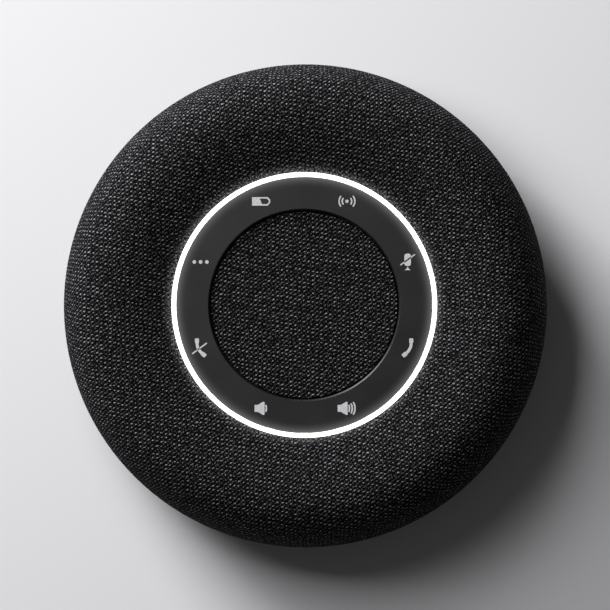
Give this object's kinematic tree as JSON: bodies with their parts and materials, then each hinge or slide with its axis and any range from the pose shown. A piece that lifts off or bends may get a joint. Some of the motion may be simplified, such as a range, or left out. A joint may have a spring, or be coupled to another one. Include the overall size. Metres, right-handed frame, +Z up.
{
  "type": "conference speakerphone",
  "caption": "Low round speakerphone with a cloth cover, a sunken touch ring inside a lit ring, a loudspeaker with passive radiators, a battery and a rubber foot.",
  "frame": {"origin": "centre of the foot's resting face, on the table", "axes": "+Z up out of the touch ring, -Y towards the user who reads the marks, +Y towards the charging socket"},
  "size_m": [0.132, 0.132, 0.039],
  "materials": {
    "cover_cloth": "plain woven polyester, charcoal melange",
    "grille_plastic": "moulded, fine matt",
    "panel_plastic": "satin hard coat",
    "light_diffuser": "milky, lit white",
    "white_plastic": "white, opaque",
    "circuit_board": "solder mask",
    "flex_film": "polyimide film",
    "led_resin": "clear phosphor resin",
    "inner_plastic": "moulded, plain",
    "screw_steel": "black zinc plated",
    "shield_metal": "tin plated",
    "black_rubber": "soft, matt",
    "foot_rubber": "fine matt",
    "basket_steel": "zinc plated",
    "magnet_nickel": "nickel plated",
    "copper_wire": "enamelled copper",
    "cone_paper": "pressed pulp, dyed black",
    "spider_cloth": "resin-dipped cloth",
    "radiator_plastic": "moulded",
    "weight_steel": "plain steel",
    "housing_plastic": "fine spark-eroded texture",
    "button_plastic": "satin",
    "battery_foil": "laminated pouch",
    "black_foam": "open cell foam",
    "wire_jacket": "silicone jacket",
    "chip_resin": "epoxy",
    "plug_plastic": "nylon",
    "socket_steel": "drawn stainless steel"
  },
  "bodies": {
    "housing": {"outer_fabric_cover": "cover_cloth", "grille_shell": "grille_plastic", "center_fabric_disc": "cover_cloth", "center_grille": "grille_plastic", "control_panel": "panel_plastic", "touch_board": "circuit_board", "touch_flex": "flex_film", "light_guide": "light_diffuser", "light_shield": "white_plastic", "led_board": "circuit_board", "ring_leds": "led_resin", "ring_carrier": "inner_plastic", "ring_screws": "screw_steel", "mic_boards": "circuit_board", "microphones": "shield_metal", "mic_boots": "black_rubber", "speaker_box": "inner_plastic", "speaker_box_back": "inner_plastic", "speaker_box_seal": "black_rubber", "speaker_box_screws": "screw_steel", "driver_gasket": "black_rubber", "driver_basket": "basket_steel", "driver_yoke": "basket_steel", "driver_magnet": "magnet_nickel", "driver_pole_plate": "basket_steel", "driver_surround": "black_rubber", "driver_spider": "spider_cloth", "driver_terminals": "circuit_board", "driver_screws": "screw_steel", "radiator_frame_left": "inner_plastic", "radiator_frame_right": "inner_plastic", "radiator_surround_left": "black_rubber", "radiator_surround_right": "black_rubber", "lower_housing": "housing_plastic", "housing_screws": "screw_steel", "rubber_foot": "foot_rubber", "base_plate": "housing_plastic", "base_screws": "screw_steel", "battery_cell": "battery_foil", "battery_cradle": "inner_plastic", "battery_foam": "black_foam", "battery_lead": "wire_jacket", "main_board": "circuit_board", "board_screws": "screw_steel", "shield_can": "shield_metal", "board_chips": "chip_resin", "antenna_board": "circuit_board", "board_plugs": "plug_plastic", "charging_socket_shell": "socket_steel", "charging_socket_tongue": "plug_plastic", "power_switch": "shield_metal"},
    "power_button": {"power_button": "button_plastic", "switch_plunger": "plug_plastic"},
    "driver_diaphragm": {"driver_cone": "cone_paper", "dust_cap": "cone_paper", "voice_coil": "copper_wire"},
    "radiator_left": {"radiator_plate_left": "radiator_plastic", "radiator_weight_left": "weight_steel"},
    "radiator_right": {"radiator_plate_right": "radiator_plastic", "radiator_weight_right": "weight_steel"}
  },
  "joints": [
    {"name": "power_press", "type": "slide", "parent": "housing", "child": "power_button", "axis": [0.4695, -0.8829, 0], "range_m": [0, 0.0004], "stiffness_N_per_m": 3000},
    {"name": "driver_travel", "type": "slide", "parent": "housing", "child": "driver_diaphragm", "axis": [0, 0, 1], "range_m": [-0.0012, 0.0012], "stiffness_N_per_m": 1200, "deforming": ["driver_surround", "driver_spider"]},
    {"name": "radiator_travel_left", "type": "slide", "parent": "housing", "child": "radiator_left", "axis": [0, 0, 1], "range_m": [-0.0025, 0.0025], "stiffness_N_per_m": 900, "deforming": ["radiator_surround_left"]},
    {"name": "radiator_travel_right", "type": "slide", "parent": "housing", "child": "radiator_right", "axis": [0, 0, 1], "range_m": [-0.0025, 0.0025], "stiffness_N_per_m": 900, "deforming": ["radiator_surround_right"]}
  ]
}
